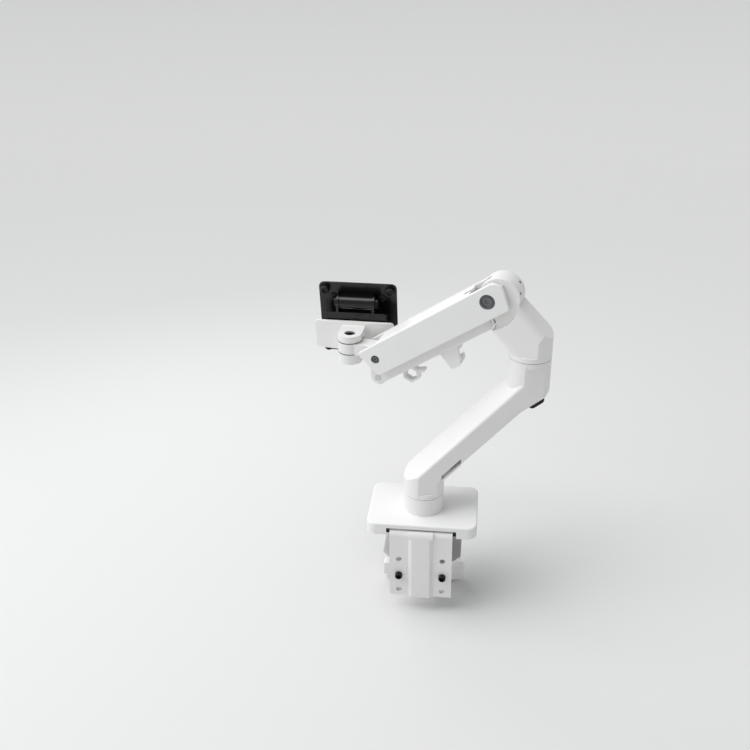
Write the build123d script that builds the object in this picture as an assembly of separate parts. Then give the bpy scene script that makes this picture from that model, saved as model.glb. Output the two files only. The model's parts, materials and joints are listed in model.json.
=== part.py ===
from build123d import *
import math
import os

os.makedirs("parts", exist_ok=True)

# A desk-clamp monitor arm: base and post, lower arm, shoulder, spring arm, wrist and tilting head.
# Row frame: the origin is on the desk top under the post, +Y runs in over the desk from its front
# edge and +Z is up. Each limb is drawn in its own frame (X forward, Y to its left, Z up) and placed
# by that limb's frame at the end. Lengths are in millimetres and angles in degrees.

# ---- pose at rest
lower_azimuth = 15.5
spring_azimuth = 167.3
droop = 33.8
head_azimuth = 87.0
head_tilt = 7.5

# ---- general fits
joint_gap = 0.4
seat_gap = 0.3
pin_clearance = 0.05
bolt_clearance = 0.3
edge_round = 1.0
overcut = 1.0
head_round_share = 0.2
socket_floor_share = 0.4
key_share = 0.45
key_sides = 6

# ---- base plate and post
post_d = 58.0
seam_height = 46.0
plate_half_width = 79.0
plate_front = 52.0
plate_back = 57.0
plate_corner = 14.0
pad_thickness = 1.5
steel_thickness = 3.5
steel_inset = 7.0
cover_height = 18.5
cover_wall = 2.5
cover_edge_round = 2.5
spindle_d = 30.0
spindle_length = 28.0
post_screw_circle = 40.0
post_screw_d = 6.0
post_screw_depth = 16.0
post_screw_count = 4
post_screw_turn = 45.0
post_key_r = 2.0
post_key_depth = 2.0

# ---- bracket over the desk edge
desk_thickness = 28.0
desk_overhang = 49.0
bracket_width = 90.0
bracket_thickness = 3.5
bracket_drop = 103.5
bracket_bend = 4.5
bracket_post_gap = 2.0
bracket_face = 3.0
ridge_half_width = 17.5
ridge_depth = 4.0
hole_column = 31.5
hole_pitch = 27.3
hole_top = 39.2
hole_d = 8.5
jaw_bolt_d = 8.0
jaw_bolt_head_d = 10.5
jaw_bolt_head = 6.0
jaw_bolt_spare = 3.0
notch_half_width = 50.0
notch_height = 11.5
bracket_screw_d = 5.0
bracket_screw_pitch = 26.0
bracket_screw_inset = 8.0
bracket_screw_head_d = 9.0
bracket_screw_head = 2.2

# ---- jaw, clamp screw, handle and pressure plate
jaw_thickness = 5.0
jaw_top = 46.0
jaw_bottom = 100.0
jaw_half_width = 39.0
jaw_flare = 57.0
jaw_flare_start = 20.0
jaw_reach = 86.0
clamp_inset = 68.0
clamp_screw_d = 14.0
jaw_boss_d = 30.0
jaw_boss_drop = 12.0
jaw_gusset_drop = 22.0
pressure_d = 62.0
pressure_thickness = 8.0
pressure_pad_thickness = 2.0
ball_d = 18.0
handle_half_length = 62.0
handle_hub_d = 34.0
handle_height = 30.0
handle_tip_height = 22.0
handle_web = 15.0
handle_drop = 100.0
handle_tip_round = 4.0
screw_end_cover = 4.0

# ---- lower arm casting
arm_reach = 147.4
arm_rise = 203.6
arm_half_width = 26.0
arm_slope = 42.3
arm_top_at_axis = 97.7
arm_depth = 43.5
elbow_d = 59.0
elbow_bore_spare = 6.0
collar_band = 7.0
arm_wall = 4.0
heel_start = 139.0
heel_break = 164.0
heel_rise = 15.0
heel_end_rise = 22.5
arm_edge_round = 4.0
channel_half_width = 19.0
strip_thickness = 3.2
strip_start = 52.0
door_side_height = 11.0
door_slot_start = 20.0
slot_end_wall = 4.0
grommet_start = 142.0
grommet_length = 24.0
grommet_half_width = 23.5
grommet_drop = 7.0
grommet_depth = 5.0
grommet_round = 6.0
duct_height = 8.0
duct_start = 4.0
sleeve_wall = 2.5
sleeve_length = 12.0
washer_thickness = 0.8

# ---- shoulder casting
pivot_forward = 57.5
pivot_height = 81.4
neck_top = 61.5
neck_bottom = 14.0
neck_toe = 8.0
neck_foot = 1.0
neck_end = 8.0
neck_half_width = 26.0
neck_edge_round = 9.0
neck_past_pivot = 2.0
neck_crest_back = 30.0
drum_r = 28.5
drum_back = 13.4
drum_up = 2.4
tongue_half_width = 18.4
scoop_r = 42.0
lug_half_width = 13.4
lug_r = 9.0
lug_root_forward = 4.0
lug_root_drop = 8.0
pivot_boss_wall = 7.0
link_swing_room = 3.0
elbow_shaft_d = 30.0
elbow_shaft_length = 38.0
retainer_screw_d = 8.0
retainer_screw_length = 14.0
retainer_trim = 1.0
retainer_washer = 2.0
retainer_head = 3.0
retainer_key_r = 3.2
retainer_key_depth = 2.0
pivot_sleeve_inset = 0.5
anchor_radius = 16.0
anchor_angle = 80.0
anchor_slot_half_width = 6.0
anchor_slot_angles = (-50, -27, -5, 18, 41)
anchor_pin_d = 6.0

# ---- spring arm
pivot_span = 192.8
wall_outer = 22.6
wall_thickness = 3.4
top_inner = 16.0
top_outer = 19.4
wall_bottom = 22.0
channel_rear = 28.0
channel_rear_low = 17.0
channel_nose = 13.0
channel_rear_cut = 10.0
top_wall_rear = 21.0
rod_slot_half_width = 4.5
rod_slot_end = 33.0
cover_top = 20.0
cover_bottom = 24.0
cover_rear = 32.0
cover_rear_low = 21.0
cover_nose_top = 20.8
cover_nose_bottom = 10.0
cover_thickness = 5.3
cover_rear_round = 15.0
cover_corner = 4.0
cover_rim = 1.6
shoulder_pin_d = 14.0
shoulder_recess_d = 21.5
shoulder_head_d = 20.0
front_pin_d = 8.0
front_recess_d = 13.0
front_head_d = 11.5
recess_depth = 3.2
ring_inset = 2.2
ring_width = 1.6
ring_depth = 0.6
socket_share = 0.24
socket_depth = 2.0
front_opening = 24.0
seat_low = 12.0
cover_screw_d = 3.0
cover_screw_head = 1.2
cover_screw_place = 70.0
cover_screw_pitch = 70.0

# ---- spring, rod and seat inside the arm
rod_d = 7.0
rod_eye_d = 14.0
rod_eye_clearance = 0.5
rod_tilt = 8.25
rod_length = 140.0
spring_d = 19.0
spring_wire = 3.0
spring_turns = 9
spring_start = 75.0
spring_length = 50.0
seat_place = 56.0
seat_thickness = 6.0
seat_hole_d = 13.8
seat_hole_up = 5.5
spring_nut_d = 18.0
spring_nut_length = 9.0

# ---- lower link
link_drop = 34.0
link_half_width = 17.0
link_wall = 3.0
link_top = 4.0
link_bottom = 10.5
link_end_r = 9.0
link_pin_d = 6.0
link_pin_head = 1.0
link_pin_head_spare = 3.0
link_end_room = 2.0
link_cover_thickness = 2.0
link_cover_margin = 26.0
link_cover_overlap = 4.0
clip_round = 2.0
front_clip_place = 149.0
front_clip_half_width = 6.0
front_loop_r = 9.5
front_loop_wall = 4.2
front_loop_up = 9.5
front_wing_reach = 20.0
front_wing_drop = 13.0
front_wing_r = 2.4
rear_clip_place = 74.0
rear_clip_half_width = 13.0
rear_clip_half = 14.5
rear_clip_drop = 28.0
rear_tip_half = 8.0
rear_tip_shift = 3.5
rear_channel_r = 7.5
rear_channel_mouth = 9.0

# ---- wrist
wrist_reach = 49.0
wrist_half_width = 18.8
wrist_nose_r = 12.0
open_pivot_clearance = 0.25
knuckle_d = 35.0
knuckle_room = 2.0
knuckle_low = -4.6
knuckle_high = 14.2
wrist_pin_d = 10.0
wrist_recess_d = 16.5
wrist_recess_depth = 5.0
wrist_pin_inset = 1.0
wrist_head_trim = 1.0
wrist_head_sink = 2.0
wrist_key_r = 4.0
wrist_key_floor = 4.5
wrist_key_depth = 3.0
upper_ear_top = 24.2
lower_ear_bottom = -20.0

# ---- yoke
yoke_front = 29.0
yoke_thickness = 8.0
yoke_half_width = 60.0
yoke_low = -16.0
yoke_high = 28.0
yoke_sweep = 5.0
yoke_web_half_width = 17.5
yoke_web_flare = 8.0
yoke_corner = 5.0

# ---- rotating bracket
rotation_height = 16.5
rotation_bolt_d = 12.0
rotation_thread = 7.0
rotation_head_d = 20.0
rotation_head_thickness = 6.0
rotation_socket_floor = 2.0
rotation_boss_d = 26.0
rotation_boss_thickness = 3.0
rotor_thickness = 4.0
rotor_half_width = 47.0
rotor_half_height = 23.0
rotor_depth = 18.0
rotor_wall = 3.0
rotor_corner = 3.0
rotor_flange_inset = 4.0
rotor_flange_round = 5.0
friction_d = 30.0
friction_thickness = 1.5

# ---- tilt barrel and plate
tilt_forward = 52.0
tilt_up = 35.0
barrel_d = 20.0
barrel_half_length = 25.0
tilt_bolt_d = 8.0
tilt_ear_thickness = 4.0
tilt_ear_r = 11.0
tilt_ear_root = 12.0
tilt_head_d = 14.0
tilt_head_thickness = 4.0
plate_forward = 18.0
plate_size = 120.0
plate_thickness = 3.0
plate_corner_r = 8.0
vesa_large = 100.0
vesa_small = 75.0
vesa_hole_d = 5.0
plate_screw_d = 5.0
plate_screw_pitch = 36.0
plate_screw_low = 7.0
plate_screw_grip = 5.0
plate_screw_spare = 0.5
plate_head_clearance = 0.2
foot_height = 22.0
foot_top = 8.0


# ---- drawing helpers
def block(x0, x1, y0, y1, z0, z1):
    """A box between two corners."""
    return Pos((x0 + x1) / 2, (y0 + y1) / 2, (z0 + z1) / 2) * Box(x1 - x0, y1 - y0, z1 - z0)


def upright(d, z0, z1, x=0.0, y=0.0):
    """A cylinder along Z."""
    return Pos(x, y, (z0 + z1) / 2) * Cylinder(d / 2, z1 - z0)


def crosswise(d, y0, y1, x=0.0, z=0.0):
    """A cylinder along Y."""
    return Pos(x, (y0 + y1) / 2, z) * Rot(90, 0, 0) * Cylinder(d / 2, y1 - y0)


def lengthwise(d, x0, x1, y=0.0, z=0.0):
    """A cylinder along X."""
    return Pos((x0 + x1) / 2, y, z) * Rot(0, 90, 0) * Cylinder(d / 2, x1 - x0)


def side_face(points):
    """A flat face in the XZ plane from its corners."""
    return Plane.XZ * make_face(Polyline(*points, close=True))


def side_cut(points, y0, y1):
    """A prism whose outline lies in XZ and which runs from y0 to y1."""
    return Pos(0, y1, 0) * extrude(side_face(points), y1 - y0)


def plan_cut(points, z0, z1):
    """A prism whose outline lies in XY and which runs from z0 to z1."""
    return Pos(0, 0, z0) * extrude(make_face(Polyline(*points, close=True)), z1 - z0)


def rounded_plan(half_x, y0, y1, r, z0, z1):
    """An upright prism on a rounded rectangle."""
    body = block(-half_x, half_x, y0, y1, z0, z1)
    return fillet(body.edges().filter_by(Axis.Z), r)


def polar(r, angle):
    """A point in a side view, as distances forward and up."""
    return r * math.cos(math.radians(angle)), r * math.sin(math.radians(angle))


def slotted_rod(x0, z0, x1, z1, r, y0, y1):
    """A bar with round ends between two points of a side view."""
    length = math.hypot(x1 - x0, z1 - z0)
    angle = math.degrees(math.atan2(z1 - z0, x1 - x0))
    bar = block(0, length, y0, y1, -r, r) + crosswise(2 * r, y0, y1) + crosswise(2 * r, y0, y1, length)
    return Pos(x0, 0, z0) * Rot(0, -angle, 0) * bar


def socket_screw(d, head_d, head_h, length):
    """A socket screw with its head's underside at zero and its shank along -Z."""
    rim = upright(head_d, 0, head_h).edges().group_by(Axis.Z)[-1]
    head = fillet(rim, head_h * head_round_share)
    key = extrude(RegularPolygon(d * key_share, key_sides), head_h)
    return head + upright(d, -length, 0) - Pos(0, 0, head_h * socket_floor_share) * key


parts = {}


def keep(name, shape, frame=None):
    """Put a finished piece into the row frame and remember it."""
    placed = frame * shape if frame else shape
    parts[name] = placed


# ---- limb frames
lower_frame = Location((0, 0, 0), (0, 0, lower_azimuth))
elbow_x = arm_reach * math.cos(math.radians(lower_azimuth))
elbow_y = arm_reach * math.sin(math.radians(lower_azimuth))
elbow_z = seam_height + arm_rise
shoulder_frame = Location((elbow_x, elbow_y, elbow_z), (0, 0, spring_azimuth))
spring_frame = shoulder_frame * Location((pivot_forward, 0, pivot_height), (0, droop, 0))
front_forward = pivot_forward + pivot_span * math.cos(math.radians(droop))
front_height = pivot_height - pivot_span * math.sin(math.radians(droop))
link_frame = shoulder_frame * Location((pivot_forward, 0, pivot_height - link_drop), (0, droop, 0))
wrist_frame = shoulder_frame * Location((front_forward, 0, front_height))
anchor_dx, anchor_dz = polar(anchor_radius, anchor_angle)
rod_frame = shoulder_frame * Location(
    (pivot_forward + anchor_dx, 0, pivot_height + anchor_dz), (0, droop + rod_tilt, 0)
)
pan_centre = (wrist_frame * Location((wrist_reach, 0, 0))).position
head_frame = Location((pan_centre.X, pan_centre.Y, pan_centre.Z), (0, 0, head_azimuth))
tilt_frame = head_frame * Location((tilt_forward, 0, rotation_height + tilt_up), (0, -head_tilt, 0))
clamp_frame = Location((0, clamp_inset - desk_overhang, 0))

# ---- base plate, cover and post
steel_bottom = pad_thickness
steel_top = steel_bottom + steel_thickness
leg_top = steel_top + bracket_thickness
spindle_top = seam_height + spindle_length


def desk_pad():
    """Soft pad under the whole base."""
    inset = steel_inset - cover_wall / 2
    pad = rounded_plan(
        plate_half_width - inset,
        inset - plate_front,
        plate_back - inset,
        plate_corner - inset,
        0,
        pad_thickness,
    )
    return pad


def post_screw_places():
    """The four screws that hold the post to the steel plate."""
    return PolarLocations(post_screw_circle / 2, post_screw_count, post_screw_turn)


def steel_plate():
    """Steel plate inside the cover, drilled for the post and the bracket."""
    plate = rounded_plan(
        plate_half_width - steel_inset,
        steel_inset - plate_front,
        plate_back - steel_inset,
        plate_corner - steel_inset,
        steel_bottom,
        steel_top,
    )
    for place in post_screw_places():
        plate -= place * upright(post_screw_d + 2 * pin_clearance, steel_bottom, steel_top)
        plate -= place * Pos(0, 0, steel_bottom) * Cone(
            post_screw_d, post_screw_d / 2, post_screw_d / 2, align=(Align.CENTER, Align.CENTER, Align.MIN)
        )
    for x in (-bracket_screw_pitch, 0, bracket_screw_pitch):
        plate -= upright(bracket_screw_d, steel_bottom, steel_top, x, bracket_screw_y)
    return plate


bracket_back = -post_d / 2 - bracket_post_gap
bracket_screw_y = bracket_back - bracket_screw_inset
front_face = -desk_overhang - bracket_face


def cover_shell():
    """Moulded cover: a plate with a skirt, notched in front for the bracket."""
    outer = rounded_plan(
        plate_half_width, -plate_front, plate_back, plate_corner, seat_gap, cover_height
    )
    outer = fillet(outer.edges().group_by(Axis.Z)[-1], cover_edge_round)
    hollow = rounded_plan(
        plate_half_width - cover_wall,
        cover_wall - plate_front,
        plate_back - cover_wall,
        plate_corner - cover_wall,
        0,
        cover_height - cover_wall,
    )
    notch = block(
        -notch_half_width, notch_half_width, -plate_front - 1, 0, 0, notch_height
    )
    notch = fillet(notch.edges().filter_by(Axis.Y), edge_round)
    return outer - hollow - notch - upright(post_d + 2 * pin_clearance, 0, cover_height + 1)


def post():
    """Post with its spindle, which the lower arm turns on."""
    body = upright(post_d, steel_top, seam_height)
    body = chamfer(body.edges().group_by(Axis.Z)[-1], edge_round / 2)
    spindle = upright(spindle_d, seam_height, spindle_top)
    spindle = chamfer(spindle.edges().group_by(Axis.Z)[-1], edge_round)
    body += spindle
    for place in post_screw_places():
        body -= place * upright(post_screw_d, steel_top, steel_top + post_screw_depth)
    return body


def post_screws():
    """Countersunk screws up through the steel plate."""
    group = []
    for place in post_screw_places():
        shank = upright(post_screw_d, steel_bottom, steel_top + post_screw_depth - overcut)
        cone = Pos(0, 0, steel_bottom) * Cone(
            post_screw_d, post_screw_d / 2, post_screw_d / 2, align=(Align.CENTER, Align.CENTER, Align.MIN)
        )
        socket = extrude(RegularPolygon(post_key_r, key_sides), steel_bottom + post_key_depth)
        group.append(place * (shank + cone - socket))
    return Compound(children=group)


keep("desk_pad", desk_pad())
keep("steel_plate", steel_plate())
keep("base_cover", cover_shell())
keep("post", post())
keep("post_screws", post_screws())


# ---- bracket over the desk edge, and the jaw bolted behind it
def hole_rows():
    """Heights of the three rows of holes in the bracket."""
    return [-(hole_top + row * hole_pitch) for row in range(3)]


def clamp_bracket():
    """Bent plate with a raised middle ridge and three rows of two holes."""
    outer = front_face - bracket_thickness
    r_out = bracket_bend + bracket_thickness
    corner_y = outer + r_out
    corner_z = leg_top - r_out
    half = bracket_width / 2
    leg = block(-half, half, corner_y, bracket_back, steel_top, leg_top)
    drop = block(-half, half, outer, front_face, -bracket_drop, corner_z)
    bend = Pos(0, corner_y, corner_z) * (
        lengthwise(2 * r_out, -half, half) - lengthwise(2 * bracket_bend, -half, half)
    )
    bend &= block(-half, half, outer, corner_y, corner_z, leg_top)
    ridge_face = make_face(
        Polyline(
            (-ridge_half_width, outer),
            (-ridge_half_width + ridge_depth, outer - ridge_depth),
            (ridge_half_width - ridge_depth, outer - ridge_depth),
            (ridge_half_width, outer),
            close=True,
        )
    )
    ridge_face = fillet(ridge_face.vertices().group_by(Axis.Y)[0], ridge_depth)
    ridge = Pos(0, 0, -bracket_drop) * extrude(ridge_face, bracket_drop + corner_z)
    crown = Pos(0, corner_y, corner_z) * Rot(0, 90, 0) * Cylinder(r_out + ridge_depth, 2 * ridge_half_width)
    crown &= block(-ridge_half_width, ridge_half_width, outer - ridge_depth, corner_y, corner_z, leg_top)
    crown -= Pos(0, corner_y, corner_z) * lengthwise(2 * r_out, -half, half)
    plate = leg + drop + bend + ridge + crown
    for z in hole_rows():
        for x in (-hole_column, hole_column):
            plate -= Pos(x, 0, z) * Rot(90, 0, 0) * Cylinder(hole_d / 2, 4 * post_d)
    for x in (-bracket_screw_pitch, 0, bracket_screw_pitch):
        plate -= upright(bracket_screw_d + 2 * bolt_clearance, 0, leg_top + 1, x, bracket_screw_y)
    return plate


def bracket_screws():
    """Low-head screws that hold the bracket on the steel plate."""
    group = []
    for x in (-bracket_screw_pitch, 0, bracket_screw_pitch):
        screw = socket_screw(
            bracket_screw_d - 2 * pin_clearance,
            bracket_screw_head_d,
            bracket_screw_head,
            leg_top - steel_bottom,
        )
        group.append(Pos(x, bracket_screw_y, leg_top) * screw)
    return Compound(children=group)


jaw_back = front_face + seat_gap
jaw_front = jaw_back + jaw_thickness
clamp_y = clamp_inset - desk_overhang


def clamp_jaw():
    """Folded jaw: a flange behind the bracket and a flared shelf with a threaded boss."""
    flange = block(-jaw_half_width, jaw_half_width, jaw_back, jaw_front, -jaw_bottom, -jaw_top)
    shelf = plan_cut(
        [
            (-jaw_half_width, jaw_back),
            (jaw_half_width, jaw_back),
            (jaw_flare, jaw_back + jaw_flare_start),
            (jaw_flare, clamp_y),
            (jaw_half_width / 2, jaw_back + jaw_reach),
            (-jaw_half_width / 2, jaw_back + jaw_reach),
            (-jaw_flare, clamp_y),
            (-jaw_flare, jaw_back + jaw_flare_start),
        ],
        -jaw_top - jaw_thickness,
        -jaw_top,
    )
    boss = upright(jaw_boss_d, -jaw_top - jaw_boss_drop, -jaw_top - jaw_thickness, 0, clamp_y)
    gussets = None
    for x in (-jaw_half_width + jaw_thickness, jaw_half_width - jaw_thickness):
        web = Rot(0, 0, 90) * side_cut(
            [
                (jaw_front, -jaw_top - jaw_thickness),
                (clamp_y, -jaw_top - jaw_thickness),
                (jaw_front, -jaw_top - jaw_thickness - jaw_gusset_drop),
            ],
            -jaw_thickness / 2,
            jaw_thickness / 2,
        )
        web = Pos(x, 0, 0) * web
        gussets = web if gussets is None else gussets + web
    body = flange + shelf + boss + gussets
    body -= upright(clamp_screw_d + 2 * pin_clearance, -jaw_bottom, 0, 0, clamp_y)
    for x in (-hole_column, hole_column):
        body -= Pos(x, 0, hole_rows()[1]) * Rot(90, 0, 0) * Cylinder(jaw_bolt_d / 2, 4 * post_d)
    return body


def jaw_bolts():
    """Button-head bolts through the middle row of the bracket into the jaw."""
    group = []
    for x in (-hole_column, hole_column):
        length = bracket_thickness + seat_gap + jaw_thickness + jaw_bolt_spare
        bolt = socket_screw(jaw_bolt_d, jaw_bolt_head_d, jaw_bolt_head, length)
        group.append(Pos(x, front_face - bracket_thickness, hole_rows()[1]) * Rot(90, 0, 0) * bolt)
    return Compound(children=group)


keep("clamp_bracket", clamp_bracket())
keep("bracket_screws", bracket_screws())
keep("clamp_jaw", clamp_jaw())
keep("jaw_bolts", jaw_bolts())

# ---- pressure plate, clamp screw and handle
pad_bottom = -desk_thickness - pressure_pad_thickness
pressure_bottom = pad_bottom - pressure_thickness
ball_height = pad_bottom - pressure_thickness / 2


def pressure_plate():
    """Round plate that carries the pad, with a socket for the screw's neck."""
    plate = upright(pressure_d, pressure_bottom, pad_bottom)
    plate = chamfer(plate.edges().group_by(Axis.Z)[0], pressure_thickness / 2)
    plate -= upright(ball_d + 2 * joint_gap, ball_height - joint_gap, pad_bottom)
    plate -= upright(clamp_screw_d + 2 * pin_clearance, pressure_bottom, ball_height)
    return plate


def pressure_pad():
    """Soft pad on the pressure plate."""
    return upright(pressure_d - 2, pad_bottom, -desk_thickness)


def clamp_screw():
    """Screw with a flanged neck held in the pressure plate."""
    neck = upright(ball_d, ball_height, pad_bottom - joint_gap)
    shank = upright(clamp_screw_d, -handle_drop - handle_height + screw_end_cover, ball_height)
    return chamfer(shank.edges().group_by(Axis.Z)[0], edge_round) + neck


def clamp_handle():
    """Two-winged handle on the lower end of the clamp screw."""
    top = -handle_drop
    hub = upright(handle_hub_d, top - handle_height, top)
    tip = handle_half_length
    wing = side_cut(
        [
            (-tip, top),
            (tip, top),
            (tip, top - handle_tip_height),
            (handle_hub_d / 2, top - handle_height),
            (-handle_hub_d / 2, top - handle_height),
            (-tip, top - handle_tip_height),
        ],
        -handle_web / 2,
        handle_web / 2,
    )
    wing = fillet(wing.edges().filter_by(Axis.Y).group_by(Axis.X)[0], handle_tip_round)
    wing = fillet(wing.edges().filter_by(Axis.Y).group_by(Axis.X)[-1], handle_tip_round)
    body = hub + wing
    return body - upright(clamp_screw_d, top - handle_height + screw_end_cover, top)


keep("pressure_plate", pressure_plate(), clamp_frame)
keep("pressure_pad", pressure_pad(), clamp_frame)
keep("clamp_screw", clamp_screw(), clamp_frame)
keep("clamp_handle", clamp_handle(), clamp_frame)


# ---- lower arm
collar_bottom = seam_height + washer_thickness
elbow_top = elbow_z - washer_thickness
slope = math.tan(math.radians(arm_slope))
post_r = post_d / 2
elbow_r = elbow_d / 2


def arm_top(s):
    """Height of the arm's top face at a distance along the arm."""
    return arm_top_at_axis + slope * s


def arm_bottom(s):
    """Height of the arm's lower edge at a distance along the arm."""
    return arm_top(s) - arm_depth


heel_low = arm_bottom(heel_start)
beam_end = arm_reach - math.sqrt(elbow_r**2 - arm_half_width**2)
side_outline = [
    (-post_r - 1, collar_bottom - 1),
    (post_r + 1, collar_bottom - 1),
    (post_r + 1, arm_bottom(post_r + 1)),
    (heel_start, heel_low),
    (heel_break, heel_low + heel_rise),
    (arm_reach + elbow_r + 1, heel_low + heel_end_rise),
    (arm_reach + elbow_r + 1, elbow_top + 1),
    (arm_reach - elbow_r - 1, elbow_top + 1),
    (arm_reach - elbow_r - 1, arm_top(arm_reach - elbow_r - 1)),
    (-post_r - 1, arm_top(-post_r - 1)),
]
beam_outline = [
    (0, arm_bottom(0)),
    (heel_start, heel_low),
    (heel_break, heel_low + heel_rise),
    (arm_reach, heel_low + heel_rise),
    (arm_reach, arm_top(beam_end)),
    (beam_end, arm_top(beam_end)),
    (0, arm_top(0)),
]
hollow_start = post_r + arm_wall
hollow_end = heel_start - 2 * arm_wall
channel_outline = [
    (hollow_start, arm_bottom(hollow_start) - arm_wall),
    (hollow_end, arm_bottom(hollow_end) - arm_wall),
    (hollow_end, arm_top(hollow_end) - 3 * arm_wall),
    (hollow_end - arm_wall, arm_top(hollow_end - arm_wall) - 2 * arm_wall),
    (hollow_start, arm_top(hollow_start) - 2 * arm_wall),
]
heel_angle = math.degrees(math.atan2(heel_rise, heel_break - heel_start))
grommet_height = heel_low + (grommet_start - heel_start) * heel_rise / (heel_break - heel_start)
grommet_frame = Location((grommet_start, 0, grommet_height), (0, -heel_angle, 0))


def lower_arm():
    """Casting: two collars joined by a slanted box that is open underneath."""
    envelope = side_cut(side_outline, -arm_half_width, arm_half_width)
    ridges = envelope.edges().filter_by(lambda e: abs((e @ 1 - e @ 0).X) > arm_reach / 2)
    envelope = fillet(ridges, arm_edge_round)
    low_band, high_band = collar_bottom + collar_band, elbow_top - collar_band
    collars = upright(post_d, collar_bottom, low_band)
    collars += upright(post_d, low_band, arm_top(post_r)) & envelope
    collars += upright(elbow_d, high_band, elbow_top, arm_reach)
    collars += upright(elbow_d, heel_low, high_band, arm_reach) & envelope
    beam = side_cut(beam_outline, -arm_half_width, arm_half_width)
    long_edges = beam.edges().filter_by(lambda e: abs((e @ 1 - e @ 0).X) > arm_reach / 2)
    beam = fillet(long_edges, arm_edge_round)
    body = collars + beam
    body -= side_cut(channel_outline, -channel_half_width, channel_half_width)
    slot_end = strip_start - slot_end_wall
    slot = [
        (door_slot_start, arm_bottom(door_slot_start) - slot_end_wall),
        (slot_end, arm_bottom(slot_end) - slot_end_wall),
        (slot_end, arm_bottom(slot_end) + door_side_height),
        (door_slot_start, arm_bottom(door_slot_start) + door_side_height),
    ]
    body -= side_cut(slot, -arm_half_width - 1, -channel_half_width + 1)
    half = grommet_half_width
    body -= grommet_frame * block(0, grommet_length, -half, half, -arm_wall, grommet_depth)
    duct_half = grommet_length / 4
    duct_rear = hollow_end - grommet_start - duct_start
    duct_end = grommet_length - duct_start
    duct_roof = grommet_depth + duct_height
    duct = block(duct_rear, duct_end, -duct_half, duct_half, grommet_depth - seat_gap, duct_roof)
    body -= grommet_frame * duct
    body -= upright(spindle_d + 2 * (sleeve_wall + pin_clearance), 0, spindle_top + 1)
    shaft_low = elbow_top - elbow_shaft_length
    elbow_bore = elbow_shaft_d + 2 * (sleeve_wall + pin_clearance)
    body -= upright(elbow_bore, shaft_low - elbow_bore_spare, elbow_z, arm_reach)
    return body


def cable_door():
    """Short plate beside the post whose lip closes the cable slot from below."""
    half = channel_half_width - pin_clearance
    main = side_cut(strip_outline(hollow_start + seat_gap, strip_start - seat_gap), -half, half)
    lip_end = strip_start - slot_end_wall - seat_gap
    lip_outline = strip_outline(door_slot_start + seat_gap, lip_end)
    lip = side_cut(lip_outline, -arm_half_width, -channel_half_width + seat_gap)
    return main + lip


def strip_outline(a, b):
    """Side view of a strip set flush into the lower edge between two distances."""
    return [
        (a, arm_bottom(a)),
        (b, arm_bottom(b)),
        (b, arm_bottom(b) + strip_thickness),
        (a, arm_bottom(a) + strip_thickness),
    ]


def grommet():
    """Soft grommet in the heel, where cables leave the casting."""
    body = block(0, grommet_length, -grommet_half_width, grommet_half_width, -grommet_drop, grommet_depth)
    body = fillet(body.edges().filter_by(Axis.Y).group_by(Axis.Z)[0], grommet_round)
    hole = Pos(grommet_length / 2, 0, 0) * Cylinder(grommet_length / 4, 4 * grommet_depth)
    return body - hole


def lower_strip():
    """Snap-in cover along the open underside, set in from the lower edges."""
    half = channel_half_width - pin_clearance
    return side_cut(strip_outline(strip_start + seat_gap, hollow_end - seat_gap), -half, half)


def sleeve(z0, d, x=0.0):
    """A plain bearing sleeve round an upright shaft."""
    ring = upright(d + 2 * sleeve_wall, z0, z0 + sleeve_length, x)
    return ring - upright(d + 2 * pin_clearance, z0, z0 + sleeve_length, x)


def thrust_washer(outer, inner, z0, x=0.0):
    """Flat ring between two collars."""
    ring = upright(outer, z0 + pin_clearance, z0 + washer_thickness - pin_clearance, x)
    return ring - upright(inner, z0, z0 + washer_thickness, x)


keep("lower_arm", lower_arm(), lower_frame)
keep("cable_door", cable_door(), lower_frame)
keep("lower_strip", lower_strip(), lower_frame)
keep("elbow_grommet", grommet(), lower_frame * grommet_frame)
keep("base_sleeve_low", sleeve(collar_bottom, spindle_d), lower_frame)
keep("base_sleeve_high", sleeve(spindle_top - sleeve_length - edge_round, spindle_d), lower_frame)
keep("base_washer", thrust_washer(post_d - 2, spindle_d + 1, seam_height), lower_frame)
shaft_low = elbow_top - elbow_shaft_length
keep("elbow_sleeve_low", sleeve(shaft_low + edge_round, elbow_shaft_d, arm_reach), lower_frame)
keep("elbow_sleeve_high", sleeve(elbow_top - sleeve_length, elbow_shaft_d, arm_reach), lower_frame)
keep("elbow_washer", thrust_washer(elbow_d - 2, elbow_shaft_d + 1, elbow_top, arm_reach), lower_frame)

# ---- shoulder casting
drum_x = pivot_forward - drum_back
drum_z = pivot_height + drum_up
link_pin_z = pivot_height - link_drop


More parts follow.
